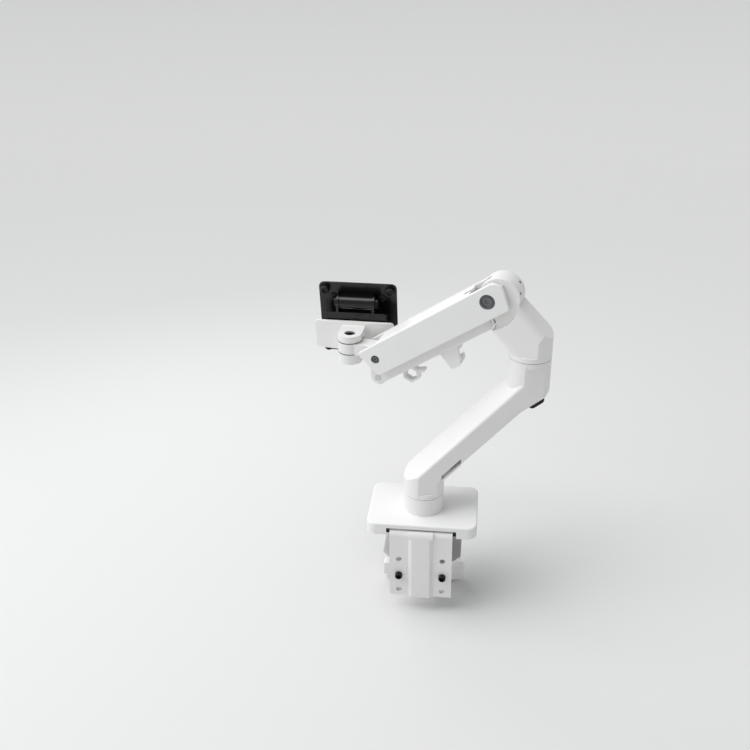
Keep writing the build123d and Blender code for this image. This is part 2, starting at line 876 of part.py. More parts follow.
def shoulder_block():
    """Casting: collar, slanted neck and a drum that the spring arm straddles."""
    outline = [
        (-elbow_r - 1, -1),
        (elbow_r + 1, -1),
        (elbow_r + 1, elbow_r + 1 - neck_bottom),
        (pivot_forward + neck_end, pivot_forward + neck_end - neck_bottom),
        (pivot_forward + neck_end, pivot_forward + neck_end + neck_top),
        (-elbow_r - 1, neck_top - elbow_r - 1),
    ]
    envelope = side_cut(outline, -neck_half_width, neck_half_width)
    top_edges = envelope.edges().filter_by(lambda e: abs((e @ 1 - e @ 0).X) > elbow_d)
    envelope = fillet(top_edges, neck_edge_round)
    collar = upright(elbow_d, 0, collar_band)
    collar += upright(elbow_d, collar_band, neck_top + elbow_r) & envelope
    reach = pivot_forward + neck_past_pivot
    crest = reach - neck_crest_back
    neck = side_cut(
        [
            (neck_bottom - neck_toe + neck_foot, neck_foot),
            (elbow_r - neck_toe / 2, elbow_r - neck_toe / 2 - neck_bottom),
            (reach, reach - neck_bottom),
            (crest, crest + neck_top),
            (neck_toe - elbow_r, neck_top - elbow_r + neck_toe),
        ],
        -neck_half_width,
        neck_half_width,
    )
    long_edges = neck.edges().filter_by(lambda e: abs((e @ 1 - e @ 0).X) > neck_crest_back)
    neck = fillet(long_edges, neck_edge_round)
    body = collar + neck
    scoop = crosswise(2 * scoop_r, -elbow_d, elbow_d, pivot_forward, pivot_height)
    tongue = block(-elbow_d, 2 * elbow_d, -tongue_half_width, tongue_half_width, -overcut, 2 * neck_top)
    body -= scoop - tongue
    body += crosswise(2 * drum_r, -tongue_half_width, tongue_half_width, drum_x, drum_z)
    boss_d = shoulder_pin_d + 2 * pivot_boss_wall
    body += crosswise(boss_d, -tongue_half_width, tongue_half_width, pivot_forward, pivot_height)
    root_x, root_z = drum_x + lug_root_forward, drum_z - lug_root_drop
    lug_ends = (root_x, root_z, pivot_forward, link_pin_z)
    lug = slotted_rod(*lug_ends, lug_r, -lug_half_width, lug_half_width)
    room = link_end_r + link_swing_room
    slot = crosswise(2 * room, -elbow_d, elbow_d, pivot_forward, link_pin_z)
    slot += block(pivot_forward, 2 * elbow_d, -elbow_d, elbow_d, link_pin_z - room, link_pin_z + room)
    body -= slot
    body += lug
    ax, az = pivot_forward + anchor_dx, pivot_height + anchor_dz
    for angle in anchor_slot_angles:
        dx, dz = polar(2 * scoop_r, angle)
        body -= slotted_rod(
            ax, az, ax + dx, az + dz, rod_eye_d / 2 + 2, -anchor_slot_half_width, anchor_slot_half_width
        )
    body -= crosswise(shoulder_pin_d + 2 * sleeve_wall, -elbow_d, elbow_d, pivot_forward, pivot_height)
    body -= crosswise(link_pin_d + 2 * pin_clearance, -elbow_d, elbow_d, pivot_forward, link_pin_z)
    body -= crosswise(anchor_pin_d, -elbow_d, elbow_d, pivot_forward + anchor_dx, pivot_height + anchor_dz)
    body -= upright(elbow_shaft_d, 0, elbow_r)
    return body


def elbow_shaft():
    """Steel shaft pressed into the casting, with a tapped lower end."""
    shaft = upright(elbow_shaft_d, -elbow_shaft_length, elbow_r)
    shaft = chamfer(shaft.edges().group_by(Axis.Z)[0], edge_round)
    hole_end = retainer_screw_length - elbow_shaft_length
    return shaft - upright(retainer_screw_d, -elbow_shaft_length, hole_end)


def elbow_retainer():
    """Washer and low screw that keep the shaft in its collar."""
    low = -elbow_shaft_length
    head_top = low - retainer_washer
    head_low = head_top - retainer_head
    washer = upright(elbow_shaft_d + 2 * sleeve_wall - retainer_trim, head_top, low)
    screw = upright(retainer_screw_d, head_top, low + retainer_screw_length - overcut)
    head = upright(2 * retainer_screw_d, head_low, head_top)
    key = extrude(RegularPolygon(retainer_key_r, key_sides), retainer_key_depth)
    return washer + screw + head - Pos(0, 0, head_low) * key


def pivot_sleeves():
    """Plain sleeves for the shoulder pivot, one in each cheek."""
    group = []
    for side in (-1, 1):
        inside = anchor_slot_half_width + pivot_sleeve_inset
        y0, y1 = sorted((side * inside, side * tongue_half_width))
        ring = crosswise(shoulder_pin_d + 2 * sleeve_wall, y0, y1)
        group.append(ring - crosswise(shoulder_pin_d + 2 * pin_clearance, y0, y1))
    return Compound(children=group)


def anchor_pin():
    """Pin that anchors the spring rod in the drum."""
    return crosswise(anchor_pin_d, -tongue_half_width + 1, tongue_half_width - 1)


keep("shoulder_block", shoulder_block(), shoulder_frame)
keep("elbow_shaft", elbow_shaft(), shoulder_frame)
keep("elbow_retainer", elbow_retainer(), shoulder_frame)
keep("pivot_sleeves", pivot_sleeves(), shoulder_frame * Location((pivot_forward, 0, pivot_height)))
keep("anchor_pin", anchor_pin(), rod_frame)


# ---- spring arm: channel, two side covers and its pivots
nose = pivot_span + channel_nose


def beam_channel():
    """Inverted channel that carries the load between the two pivots."""
    wall_outline = [
        (-channel_rear_low, -wall_bottom),
        (nose - cover_nose_bottom, -wall_bottom),
        (nose, top_outer),
        (-channel_rear + channel_rear_cut, top_outer),
        (-channel_rear, top_outer - channel_rear_cut),
    ]
    body = side_cut(wall_outline, -wall_outer, wall_outer)
    inner = wall_outer - wall_thickness
    body -= block(-2 * channel_rear, 2 * nose, -inner, inner, -2 * wall_bottom, top_inner)
    body -= block(-2 * channel_rear, top_wall_rear, -inner, inner, 0, 2 * top_outer)
    body -= block(0, rod_slot_end, -rod_slot_half_width, rod_slot_half_width, 0, 2 * top_outer)
    body -= block(nose - front_opening, 2 * nose, -inner, inner, 0, 2 * top_outer)
    body -= crosswise(shoulder_pin_d, -post_d, post_d)
    body -= crosswise(front_pin_d, -post_d, post_d, pivot_span)
    for x in cover_screw_places():
        body -= crosswise(cover_screw_d, -post_d, post_d, x)
    return body


def cover_screw_places():
    """Where the side covers are screwed to the channel."""
    return [cover_screw_place, cover_screw_place + cover_screw_pitch]


def side_cover(side):
    """Moulded side cover with soft edges and a recess round each pivot."""
    outline = [
        (-cover_rear_low, -cover_bottom),
        (pivot_span + cover_nose_bottom, -cover_bottom),
        (pivot_span + cover_nose_top, cover_top),
        (-cover_rear, cover_top),
    ]
    face = side_face(outline)
    face = fillet(face.vertices().sort_by(Axis.X)[0], cover_rear_round)
    lower = [v for v in face.vertices() if v.Z < edge_round - cover_bottom or v.X > pivot_span]
    face = fillet(lower, cover_corner)
    plate = Pos(0, wall_outer + cover_thickness, 0) * extrude(face, cover_thickness)
    outer_face = plate.faces().sort_by(Axis.Y)[-1]
    outer_rim = outer_face.edges()
    plate = fillet(outer_rim, cover_rim)
    plate -= crosswise(shoulder_recess_d, 0, post_d)
    plate -= crosswise(front_recess_d, 0, post_d, pivot_span)
    return plate if side > 0 else mirror(plate, about=Plane.XZ)


def cover_screws():
    """Small screws from inside the channel into the side covers."""
    group = []
    inner = wall_outer - wall_thickness
    for side in (-1, 1):
        for x in cover_screw_places():
            y0, y1 = sorted((side * (inner - cover_screw_head), side * wall_outer))
            h0, h1 = sorted((side * (inner - cover_screw_head), side * inner))
            group.append(crosswise(cover_screw_d, y0, y1, x) + crosswise(2 * cover_screw_d, h0, h1, x))
    return Compound(children=group)


def pivot_pin(d, head_d):
    """Pin through the channel with a recessed head at each end."""
    face = wall_outer + cover_thickness - recess_depth
    pin = crosswise(d, -face, face)
    for side in (-1, 1):
        y0, y1 = sorted((side * wall_outer, side * face))
        pin += crosswise(head_d, y0, y1)
        g0, g1 = sorted((side * (face - ring_depth), side * (face + ring_depth)))
        ring_d = head_d - 2 * ring_inset
        pin -= crosswise(ring_d, g0, g1) - crosswise(ring_d - 2 * ring_width, g0, g1)
        key = RegularPolygon(head_d * socket_share, key_sides)
        socket = Rot(90, 0, 0) * extrude(key, socket_depth, both=True)
        pin -= Pos(0, side * face, 0) * socket
    return pin


def spring_seat():
    """Cross block that the spring pushes on, with a wide hole for the rod."""
    inner = wall_outer - wall_thickness
    seat = block(seat_place, seat_place + seat_thickness, -inner, inner, -seat_low, top_inner)
    return seat - lengthwise(seat_hole_d, seat_place - 1, seat_place + seat_thickness + 1, 0, seat_hole_up)


keep("beam_channel", beam_channel(), spring_frame)
keep("side_cover_left", side_cover(1), spring_frame)
keep("side_cover_right", side_cover(-1), spring_frame)
keep("cover_screws", cover_screws(), spring_frame)
keep("shoulder_pin", pivot_pin(shoulder_pin_d, shoulder_head_d), spring_frame)
keep("front_pin", Pos(pivot_span, 0, 0) * pivot_pin(front_pin_d, front_head_d), spring_frame)
keep("spring_seat", spring_seat(), spring_frame)


# ---- spring and rod, hung from the anchor pin
def spring_rod():
    """Rod with an eye on the anchor pin and a thread at its far end."""
    half = anchor_slot_half_width - rod_eye_clearance
    eye = crosswise(rod_eye_d, -half, half)
    body = eye + lengthwise(rod_d, 0, rod_length)
    return body - crosswise(anchor_pin_d + 2 * pin_clearance, -half - overcut, half + overcut)


def coil_spring():
    """Compression spring, one helical wire."""
    pitch = spring_length / spring_turns
    radius = (spring_d - spring_wire) / 2
    path = Helix(pitch, spring_length - spring_wire, radius)
    wire = sweep(Plane(origin=path @ 0, z_dir=path % 0) * Circle(spring_wire / 2), path)
    return Pos(spring_start, 0, 0) * Rot(0, 90, 0) * Pos(0, 0, spring_wire / 2) * wire


def spring_nut():
    """Nut and collar that hold the spring on the rod and set its tension."""
    x0 = spring_start + spring_length + seat_gap
    body = lengthwise(spring_nut_d, x0, x0 + spring_nut_length)
    return body - lengthwise(rod_d, x0 - overcut, x0 + spring_nut_length + overcut)


keep("spring_rod", spring_rod(), rod_frame)
keep("coil_spring", coil_spring(), rod_frame)
keep("spring_nut", spring_nut(), rod_frame)


# ---- lower link
def lower_link():
    """Open channel under the spring arm, pinned to the shoulder and to the wrist."""
    web = block(0, pivot_span, -link_half_width, link_half_width, -link_bottom, link_top)
    web = fillet(web.edges().filter_by(Axis.X).group_by(Axis.Z)[0], 2)
    body = web
    for place in (0, pivot_span):
        body += crosswise(2 * link_end_r, -link_half_width, link_half_width, place)
    inner = link_half_width - link_wall
    floor_start = 2 * link_cover_margin - link_cover_overlap
    body -= block(-post_d, floor_start, -inner, inner, -post_d, post_d)
    body -= block(pivot_span - floor_start, 2 * pivot_span, -inner, inner, -post_d, post_d)
    body -= block(0, pivot_span, -inner, inner, -link_bottom + link_wall, post_d)
    body -= crosswise(link_pin_d, -post_d, post_d)
    body -= crosswise(link_pin_d, -post_d, post_d, pivot_span)
    return body


def link_pin():
    """Pin through both walls of the link, with a low head at each end."""
    pin = crosswise(link_pin_d, -link_half_width, link_half_width)
    for side in (-1, 1):
        y0, y1 = sorted((side * link_half_width, side * (link_half_width + link_pin_head)))
        pin += crosswise(link_pin_d + link_pin_head_spare, y0, y1)
    return pin


def link_cover():
    """Cable cover laid on top of the link's floor."""
    inner = link_half_width - link_wall - 2 * pin_clearance
    x0 = 2 * link_cover_margin - link_cover_overlap
    floor = -link_bottom + link_wall
    return block(x0, pivot_span - x0, -inner, inner, floor, floor + link_cover_thickness)


def hexagon(r, half_width):
    """A six-sided bar across the arm, with two corners pointing along it."""
    return Rot(90, 0, 0) * extrude(RegularPolygon(r, key_sides), half_width, both=True)


def front_clip():
    """Six-sided loop under the link for a cable strap, with a wing on its rear side."""
    centre = -link_bottom - front_loop_up
    half = front_clip_half_width
    body = Pos(0, 0, centre) * hexagon(front_loop_r + front_loop_wall, half)
    wing = slotted_rod(
        -front_loop_r, centre, -front_wing_reach, -link_bottom - front_wing_drop, front_wing_r, -half, half
    )
    body = body + wing - Pos(0, 0, centre) * hexagon(front_loop_r, 2 * half)
    return body & block(-post_d, post_d, -half, half, -post_d, -link_bottom)


def rear_clip():
    """Hook under the link: its cable channel runs along the arm and opens on the far side."""
    floor = -link_bottom
    half = rear_clip_half_width
    outline = [
        (-rear_clip_half, floor),
        (rear_clip_half, floor),
        (rear_tip_shift + rear_tip_half, floor - rear_clip_drop),
        (rear_tip_shift - rear_tip_half, floor - rear_clip_drop),
    ]
    body = side_cut(outline, -half, half)
    body = fillet(body.edges().filter_by(Axis.Y).group_by(Axis.Z)[0], 2 * clip_round)
    middle = floor - rear_clip_drop / 2
    body -= lengthwise(2 * rear_channel_r, -2 * rear_clip_half, 2 * rear_clip_half, 0, middle)
    low, high = middle - rear_channel_mouth / 2, middle + rear_channel_mouth / 2
    return body - block(-2 * rear_clip_half, 2 * rear_clip_half, -2 * half, 0, low, high)


keep("lower_link", lower_link(), link_frame)
keep("link_rear_pin", link_pin(), link_frame)
keep("link_front_pin", link_pin(), link_frame * Location((pivot_span, 0, 0)))
keep("link_cover", link_cover(), link_frame)
keep("cable_clip_front", front_clip(), link_frame * Location((front_clip_place, 0, 0)))
keep("cable_clip_rear", rear_clip(), link_frame * Location((rear_clip_place, 0, 0)))


# ---- wrist block between the spring arm and the yoke
def wrist_block():
    """Casting with two cross bores behind an upright knuckle."""
    body = slotted_rod(0, 0, 0, -link_drop, wrist_nose_r, -lug_half_width, lug_half_width)
    body += crosswise(2 * wrist_nose_r, -wrist_half_width, wrist_half_width)
    arm = block(0, wrist_reach, -lug_half_width, lug_half_width, knuckle_low, knuckle_high)
    body += arm & block(0, wrist_reach, -post_d, post_d, knuckle_low, wrist_nose_r)
    body += upright(knuckle_d, knuckle_low + seat_gap, knuckle_high - seat_gap, wrist_reach)
    room = link_end_r + link_end_room
    body -= crosswise(2 * room, lug_half_width, post_d, 0, -link_drop)
    body -= crosswise(2 * room, -post_d, -lug_half_width, 0, -link_drop)
    body -= crosswise(front_pin_d + 2 * sleeve_wall, -post_d, post_d)
    body -= crosswise(link_pin_d + 2 * open_pivot_clearance, -post_d, post_d, 0, -link_drop)
    body -= upright(wrist_pin_d + 2 * sleeve_wall, -post_d, post_d, wrist_reach)
    return body


def wrist_sleeves():
    """Plain sleeves in the wrist block, one along each bore."""
    cross = crosswise(front_pin_d + 2 * sleeve_wall, -wrist_half_width, wrist_half_width)
    cross -= crosswise(front_pin_d + 2 * pin_clearance, -post_d, post_d)
    low, high = knuckle_low + seat_gap, knuckle_high - seat_gap
    up = upright(wrist_pin_d + 2 * sleeve_wall, low, high, wrist_reach)
    up -= upright(wrist_pin_d + 2 * pin_clearance, -post_d, post_d, wrist_reach)
    return Compound(children=[cross, up])


keep("wrist_block", wrist_block(), wrist_frame)
keep("wrist_sleeves", wrist_sleeves(), wrist_frame)


# ---- yoke
def yoke():
    """Bow-shaped casting with an ear above and below the knuckle."""
    bow = plan_cut(
        [
            (yoke_front, -yoke_web_half_width - yoke_web_flare),
            (yoke_front, yoke_web_half_width + yoke_web_flare),
            (yoke_front + yoke_sweep, yoke_half_width),
            (yoke_front + yoke_thickness, yoke_half_width),
            (yoke_front + yoke_thickness, -yoke_half_width),
            (yoke_front + yoke_sweep, -yoke_half_width),
        ],
        yoke_low,
        yoke_high,
    )
    bow = fillet(bow.edges().filter_by(Axis.X), yoke_corner)
    web = yoke_web_half_width
    ears = block(0, yoke_front + seat_gap, -web, web, lower_ear_bottom, upper_ear_top)
    ears += upright(knuckle_d, lower_ear_bottom, upper_ear_top)
    room = knuckle_d / 2 + knuckle_room
    gap = upright(2 * room, knuckle_low, knuckle_high)
    gap += block(-knuckle_d, room, -post_d, post_d, knuckle_low, knuckle_high)
    body = ears - gap + bow
    body -= upright(wrist_pin_d, lower_ear_bottom - overcut, upper_ear_top + overcut)
    body -= upright(wrist_recess_d, upper_ear_top - wrist_recess_depth, upper_ear_top + overcut)
    tapping = yoke_front + yoke_thickness - rotation_thread
    back = yoke_front + yoke_thickness + overcut
    return body - lengthwise(rotation_bolt_d, tapping, back, 0, rotation_height)


def wrist_pin():
    """Shoulder bolt down through both ears and the knuckle."""
    seat = upper_ear_top - wrist_recess_depth
    pin = upright(wrist_pin_d, lower_ear_bottom + wrist_pin_inset, seat)
    head = upright(wrist_recess_d - wrist_head_trim, seat, upper_ear_top - wrist_head_sink)
    key = extrude(RegularPolygon(wrist_key_r, key_sides), wrist_key_depth)
    return pin + head - Pos(0, 0, upper_ear_top - wrist_key_floor) * key


keep("yoke", yoke(), head_frame)
keep("wrist_pin", wrist_pin(), head_frame)

# ---- rotating bracket behind the yoke
yoke_back = yoke_front + yoke_thickness
rotor_front = yoke_back + rotation_boss_thickness + 2 * pin_clearance
rotor_back = rotor_front + rotor_thickness
axis_height = rotation_height + tilt_up


def rotation_boss():
    """Friction disc between the yoke and the rotating bracket."""
    disc = lengthwise(rotation_boss_d, yoke_back, rotor_front - pin_clearance, 0, rotation_height)
    return disc - lengthwise(rotation_bolt_d, yoke_back - overcut, rotor_front, 0, rotation_height)


def rotation_bolt():
    """Bolt from behind the bracket into the yoke; the bracket turns on it."""
    start = rotor_back + friction_thickness + 2 * pin_clearance
    bolt = lengthwise(rotation_bolt_d, yoke_back - rotation_thread, start, 0, rotation_height)
    head = lengthwise(rotation_head_d, start, start + rotation_head_thickness, 0, rotation_height)
    hexagon_cut = extrude(RegularPolygon(rotation_head_d / 4, key_sides), rotation_head_thickness)
    socket = Pos(start + rotation_socket_floor, 0, rotation_height) * Rot(0, 90, 0) * hexagon_cut
    return bolt + head - socket


def friction_washer():
    """Friction washer under the bolt's head."""
    start = rotor_back + pin_clearance
    ring = lengthwise(friction_d, start, start + friction_thickness, 0, rotation_height)
    return ring - lengthwise(rotation_bolt_d + 2 * pin_clearance, 0, post_d, 0, rotation_height)


def rotor_bracket():
    """Folded bracket: a front plate, two side flanges and two ears for the tilt bolt."""
    low, high = rotation_height - rotor_half_height, rotation_height + rotor_half_height
    plate = block(rotor_front, rotor_back, -rotor_half_width, rotor_half_width, low, high)
    plate = fillet(plate.edges().filter_by(Axis.X), rotor_corner)
    body = plate
    for side in (-1, 1):
        y0, y1 = sorted((side * (rotor_half_width - rotor_wall), side * rotor_half_width))
        flange_low, flange_high = low + rotor_flange_inset, high - rotor_flange_inset
        flange_end = rotor_front + rotor_depth
        flange = block(rotor_back - overcut, flange_end, y0, y1, flange_low, flange_high)
        corners = flange.edges().filter_by(Axis.Y).group_by(Axis.X)[-1]
        body += fillet(corners, rotor_flange_round)
        inner = barrel_half_length + seat_gap
        y0, y1 = sorted((side * inner, side * (inner + tilt_ear_thickness)))
        swing = crosswise(2 * tilt_ear_r, y0, y1, tilt_forward, axis_height)
        ear_end = tilt_forward + tilt_ear_r
        body += swing + block(rotor_front, ear_end, y0, y1, high - tilt_ear_root, axis_height)
    hole = rotation_bolt_d + 2 * pin_clearance
    body -= lengthwise(hole, 0, 2 * post_d, 0, rotation_height)
    return body - crosswise(tilt_bolt_d + 2 * pin_clearance, -post_d, post_d, tilt_forward, axis_height)


def tilt_bolt():
    """Bolt through both ears and the barrel."""
    reach = barrel_half_length + seat_gap + tilt_ear_thickness
    bolt = crosswise(tilt_bolt_d, -reach, reach, tilt_forward, axis_height)
    for side in (-1, 1):
        y0, y1 = sorted((side * reach, side * (reach + tilt_head_thickness)))
        bolt += crosswise(tilt_head_d, y0, y1, tilt_forward, axis_height)
    return bolt


# ---- tilt barrel and mounting plate, drawn from the tilt axis
plate_back_face = plate_forward - plate_thickness


def tilt_barrel():
    """Barrel on the tilt bolt with a foot that carries the plate."""
    body = crosswise(barrel_d, -barrel_half_length, barrel_half_length)
    half = barrel_half_length
    foot = block(0, plate_back_face, -half, half, foot_top - foot_height, foot_top)
    body = body + foot - crosswise(tilt_bolt_d + 2 * pin_clearance, -post_d, post_d)
    for y in plate_screw_places():
        hole_start = plate_back_face - plate_screw_grip
        body -= lengthwise(plate_screw_d, hole_start, plate_back_face, y, -plate_screw_low)
    return body


def plate_screw_places():
    """Two screws side by side."""
    return [-plate_screw_pitch / 2, plate_screw_pitch / 2]


def vesa_plate():
    """Mounting plate with the 100 mm and 75 mm square hole patterns."""
    half = plate_size / 2
    plate = block(plate_back_face, plate_forward, -half, half, -tilt_up - half, -tilt_up + half)
    plate = fillet(plate.edges().filter_by(Axis.X), plate_corner_r)
    for spacing in (vesa_large, vesa_small):
        for y in (-spacing / 2, spacing / 2):
            for z in (-spacing / 2, spacing / 2):
                plate -= lengthwise(vesa_hole_d, 0, post_d, y, -tilt_up + z)
    for y in plate_screw_places():
        plate -= lengthwise(plate_screw_d, 0, post_d, y, -plate_screw_low)
        seat_start = plate_back_face - pin_clearance
        seat_end = plate_forward + pin_clearance
        plate -= lengthwise(2 * plate_screw_d, seat_start, seat_end, y, -plate_screw_low)
    return plate


def plate_screws():
    """Flush screws that hold the plate on the barrel's foot."""
    group = []
    for y in plate_screw_places():
        tip = plate_back_face - plate_screw_grip + plate_screw_spare
        middle = plate_forward - plate_thickness / 2
        head_d = 2 * (plate_screw_d - plate_head_clearance)
        head_end = plate_forward - seat_gap
        screw = lengthwise(plate_screw_d, tip, middle, y, -plate_screw_low)
        screw += lengthwise(head_d, plate_back_face, head_end, y, -plate_screw_low)
        group.append(screw)
    return Compound(children=group)


keep("rotation_boss", rotation_boss(), head_frame)
keep("rotation_bolt", rotation_bolt(), head_frame)
keep("friction_washer", friction_washer(), head_frame)
keep("rotor_bracket", rotor_bracket(), head_frame)
keep("tilt_bolt", tilt_bolt(), head_frame)
keep("tilt_barrel", tilt_barrel(), tilt_frame)
keep("vesa_plate", vesa_plate(), tilt_frame)
keep("plate_screws", plate_screws(), tilt_frame)

for name, shape in parts.items():
    export_step(shape, f"parts/{name}.step")
print(len(parts), "pieces")
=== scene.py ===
# %% [markdown]
# # A desk-clamp monitor arm in white and black
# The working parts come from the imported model: every casting, pin and plate is already in place.
# This lesson gives each of them the finish of the real thing, softens their edges, and adds the
# small turned and threaded pieces that a construction model leaves plain.

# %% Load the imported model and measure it
import json
import math
import bmesh
import bpy
import numpy as np
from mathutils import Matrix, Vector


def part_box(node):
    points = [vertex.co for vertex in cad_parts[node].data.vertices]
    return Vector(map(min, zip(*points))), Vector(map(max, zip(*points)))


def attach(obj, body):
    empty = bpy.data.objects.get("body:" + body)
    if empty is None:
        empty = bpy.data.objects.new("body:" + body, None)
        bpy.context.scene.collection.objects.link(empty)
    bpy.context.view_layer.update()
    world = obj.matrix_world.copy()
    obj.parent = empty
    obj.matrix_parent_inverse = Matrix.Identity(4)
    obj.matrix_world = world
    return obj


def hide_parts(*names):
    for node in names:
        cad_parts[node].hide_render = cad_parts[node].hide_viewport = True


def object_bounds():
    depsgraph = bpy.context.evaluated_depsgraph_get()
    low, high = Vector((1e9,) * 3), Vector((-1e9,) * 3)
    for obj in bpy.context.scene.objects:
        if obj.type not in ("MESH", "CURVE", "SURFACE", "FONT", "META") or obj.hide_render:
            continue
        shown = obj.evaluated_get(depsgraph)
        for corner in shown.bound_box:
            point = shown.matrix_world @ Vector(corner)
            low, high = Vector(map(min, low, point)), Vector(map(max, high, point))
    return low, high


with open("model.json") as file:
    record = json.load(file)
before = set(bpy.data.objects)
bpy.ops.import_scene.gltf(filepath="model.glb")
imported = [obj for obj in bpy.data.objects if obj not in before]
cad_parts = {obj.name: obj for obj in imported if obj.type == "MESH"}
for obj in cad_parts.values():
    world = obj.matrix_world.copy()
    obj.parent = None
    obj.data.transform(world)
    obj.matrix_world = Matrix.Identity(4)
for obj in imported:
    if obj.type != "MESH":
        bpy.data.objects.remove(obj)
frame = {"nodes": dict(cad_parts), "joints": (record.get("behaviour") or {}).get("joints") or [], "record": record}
nodes = frame["nodes"]
record = frame["record"]
joints = {joint["name"]: joint for joint in frame["joints"]}
mounts = {mount["name"]: mount for mount in record["mounts"]}
cad_box = [[float(c) for c in corner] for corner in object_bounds()]
mm = 0.001
print("nodes", len(nodes), "box", cad_box)

# %% [markdown]
# ## The camera
# The camera stands in front of the desk and looks down over it, as a standing person would. Its
# heading, pitch and roll build three perpendicular directions, and those are the camera's axes.

# %% Camera
camera_place = np.array([0.0722, -1.0704, 0.7586])
heading, pitch, roll = -0.131, 0.451, -0.017
lens_mm = 41.95
level_share = math.cos(pitch)
ahead = np.array([math.sin(heading) * level_share, math.cos(heading) * level_share, -math.sin(pitch)])
level_right = np.array([math.cos(heading), -math.sin(heading), 0.0])
level_down = np.cross(ahead, level_right)
right = math.cos(roll) * level_right - math.sin(roll) * level_down
down = math.sin(roll) * level_right + math.cos(roll) * level_down
camera_matrix = np.eye(4)
camera_matrix[:3, 0] = right
camera_matrix[:3, 1] = -down
camera_matrix[:3, 2] = -ahead
camera_matrix[:3, 3] = camera_place
camera_data = bpy.data.cameras.new("camera")
camera_data.lens = lens_mm
camera_data.sensor_width = 36.0
camera_data.shift_y = -0.0059
camera_data.clip_start = 0.05
camera = bpy.data.objects.new("camera", camera_data)
camera.matrix_world = camera_matrix.T.tolist()
bpy.context.scene.collection.objects.link(camera)
bpy.context.scene.camera = camera

# %% [markdown]
# ## Floor and light
# A plain pale floor lies under the lowest point of the arm and sweeps up far behind it, so that no
# horizon shows from the front. A wide soft sun stands high on the left and makes upper faces nearly
# white. The room itself is a softer white, so upright faces are a step darker, and undersides a
# step darker again.


# %% Helpers for colour and for adding things to the scene
def linear(hex_colour):
    """An sRGB hex colour as linear RGBA: each channel is decoded by the sRGB curve."""
    channels = np.array([int(hex_colour[k:k + 2], 16) for k in (1, 3, 5)]) / 255.0
    decoded = np.where(channels <= 0.04045, channels / 12.92, ((channels + 0.055) / 1.055) ** 2.4)
    return (*decoded.tolist(), 1.0)


def put(name, data):
    """A new object at the origin with this data, linked to the scene."""
    made = bpy.data.objects.new(name, data)
    bpy.context.scene.collection.objects.link(made)
    return made


def add(tree, kind, inputs=None, **settings):
    """Adds a shader node, applies its settings, and sets or links its inputs."""
    made = tree.nodes.new(kind)
    for key, value in settings.items():
        setattr(made, key, value)
    for key, value in (inputs or {}).items():
        if isinstance(value, bpy.types.NodeSocket):
            tree.links.new(value, made.inputs[key])
        else:
            made.inputs[key].default_value = value
    return made


# %% Floor
floor_level = cad_box[0][2] - 0.5 * mm
sweep_start, sweep_r, floor_half = 3.0, 3.0, 8.0
sweep_angle = np.linspace(0.0, np.pi / 2, 25)
floor_y = np.concatenate([[-floor_half], sweep_start + sweep_r * np.sin(sweep_angle)])
floor_z = floor_level + np.concatenate([[0.0], sweep_r * (1.0 - np.cos(sweep_angle))])
floor_x = np.tile([-floor_half, floor_half], len(floor_y))
floor_points = np.column_stack([floor_x, np.repeat(floor_y, 2), np.repeat(floor_z, 2)])
floor_faces = 2 * np.arange(len(floor_y) - 1)[:, None] + np.array([0, 1, 3, 2])
floor_mesh = bpy.data.meshes.new("floor")
floor_mesh.from_pydata(floor_points.tolist(), [], floor_faces.tolist())
floor_mesh.shade_smooth()
floor = put("floor", floor_mesh)
floor_paint = bpy.data.materials.new("studio_floor")
floor_paint.use_nodes = True
floor_shader = floor_paint.node_tree.nodes["Principled BSDF"]
floor_shader.inputs["Base Color"].default_value = linear("#DEDEDD")
floor_shader.inputs["Roughness"].default_value = 0.85
floor_mesh.materials.append(floor_paint)


# %% Lamps
def lamp(name, place, aim, size, power, tint="#FFFFFF"):
    """A square area lamp at a place, turned so that its -Z axis points at the aim."""
    data = bpy.data.lights.new(name, "AREA")
    data.size = size
    data.energy = power
    data.color = linear(tint)[:3]
    made = put(name, data)
    back = np.array(place) - np.array(aim)
    back /= np.linalg.norm(back)
    side = np.cross([0.0, 0.0, 1.0], back)
    side /= np.linalg.norm(side)
    matrix = np.eye(4)
    matrix[:3, 0] = side
    matrix[:3, 1] = np.cross(back, side)
    matrix[:3, 2] = back
    matrix[:3, 3] = place
    made.matrix_world = matrix.T.tolist()
    return made


arm_middle = (0.04, 0.06, 0.18)
sun_data = bpy.data.lights.new("high_sun", "SUN")
sun_data.energy = 1.7
sun_data.angle = math.radians(50.0)
sun = put("high_sun", sun_data)
sun.rotation_euler = (math.radians(2.0), math.radians(-24.0), 0.0)
lamp("left_panel", (-1.5, -0.5, 1.0), arm_middle, 1.0, 8.0, "#FAFCFF")
lamp("head_panel", (-0.55, 0.75, 0.75), (-0.15, 0.05, 0.30), 0.5, 2.0, "#FFFFFF")
world = bpy.data.worlds.new("room")
bpy.context.scene.world = world
world.use_nodes = True
world.node_tree.nodes["Background"].inputs["Color"].default_value = linear("#F4F6F8")
world.node_tree.nodes["Background"].inputs["Strength"].default_value = 0.46
bpy.context.scene.view_settings.view_transform = "Standard"

# %% [markdown]
# ## Finishes
# Every finish below starts from a real one. Its colour is nearly even, but not quite: a slow, broad
# noise shifts it a little, and a fine noise roughens it and lifts it in a shallow bump. The scale
# of each noise is a length in millimetres, turned into cycles per metre.


